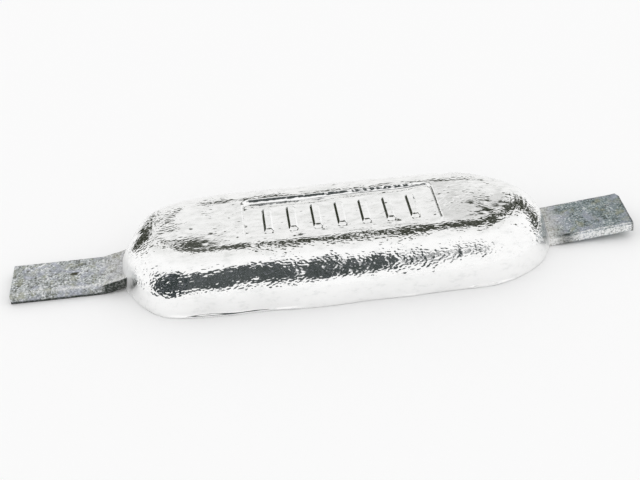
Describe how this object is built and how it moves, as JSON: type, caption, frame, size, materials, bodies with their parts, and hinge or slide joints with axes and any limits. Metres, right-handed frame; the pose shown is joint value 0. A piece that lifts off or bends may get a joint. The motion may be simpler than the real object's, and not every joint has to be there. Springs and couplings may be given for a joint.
{
  "type": "sacrificial anode",
  "caption": "Weld-on hull anode: a long rounded zinc casting with a sunk panel in its top, cast around a flat steel bar whose ends stand out as welding tabs.",
  "frame": {"origin": "centre of the casting's flat base, on the plane that meets the hull plate", "axes": "+X along the steel bar towards the tab that tilts up, +Z out of the hull plate towards the sunk panel, +Y across the casting"},
  "size_m": [0.2972, 0.0798, 0.025],
  "materials": {
    "cast_zinc": "bright cast zinc skin, rippled and pitted",
    "galvanised_steel": "dull hot-dip galvanised, mottled grey"
  },
  "bodies": {
    "root": {"anode_casting": "cast_zinc", "strap_insert": "galvanised_steel"}
  },
  "joints": []
}
